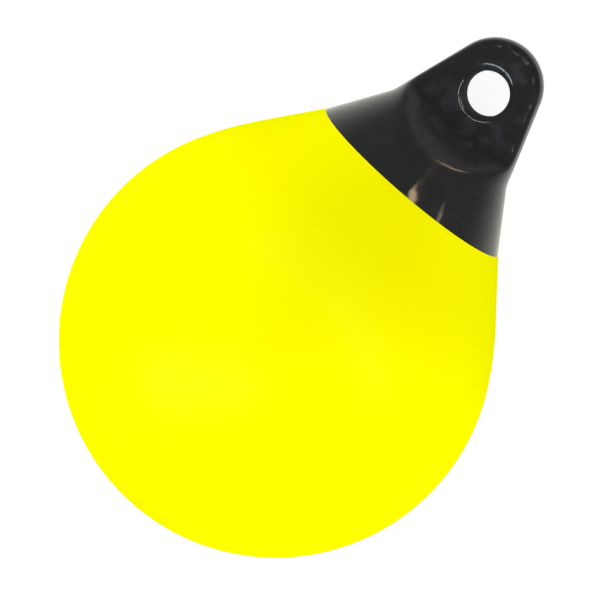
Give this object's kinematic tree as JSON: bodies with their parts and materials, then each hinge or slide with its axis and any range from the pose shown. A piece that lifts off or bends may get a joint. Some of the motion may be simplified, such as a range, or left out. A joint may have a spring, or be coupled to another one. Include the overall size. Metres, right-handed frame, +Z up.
{
  "type": "inflatable teardrop marker buoy",
  "caption": "Inflatable ball-shaped marker and mooring buoy with a moulded rope-eye head, lying on its side as it rests ashore.",
  "frame": {"origin": "on the floor, under the centre of the buoy's bounding box as it lies at rest", "axes": "+X from the ball towards the eye, +Z up, +Y across; the buoy's own axis droops towards the eye until the lobe's lower edge meets the floor"},
  "size_m": [0.3858, 0.305, 0.3051],
  "materials": {
    "yellow_vinyl": "smooth rotationally moulded vinyl, semi-gloss",
    "black_vinyl": "glossy moulded vinyl",
    "valve_plastic": "fine satin moulded plastic",
    "valve_rubber": "matt"
  },
  "bodies": {
    "root": {"body_shell": "yellow_vinyl", "eye_head": "black_vinyl", "valve_housing": "valve_plastic", "valve_gasket": "valve_rubber", "valve_plug": "valve_plastic"}
  },
  "joints": []
}
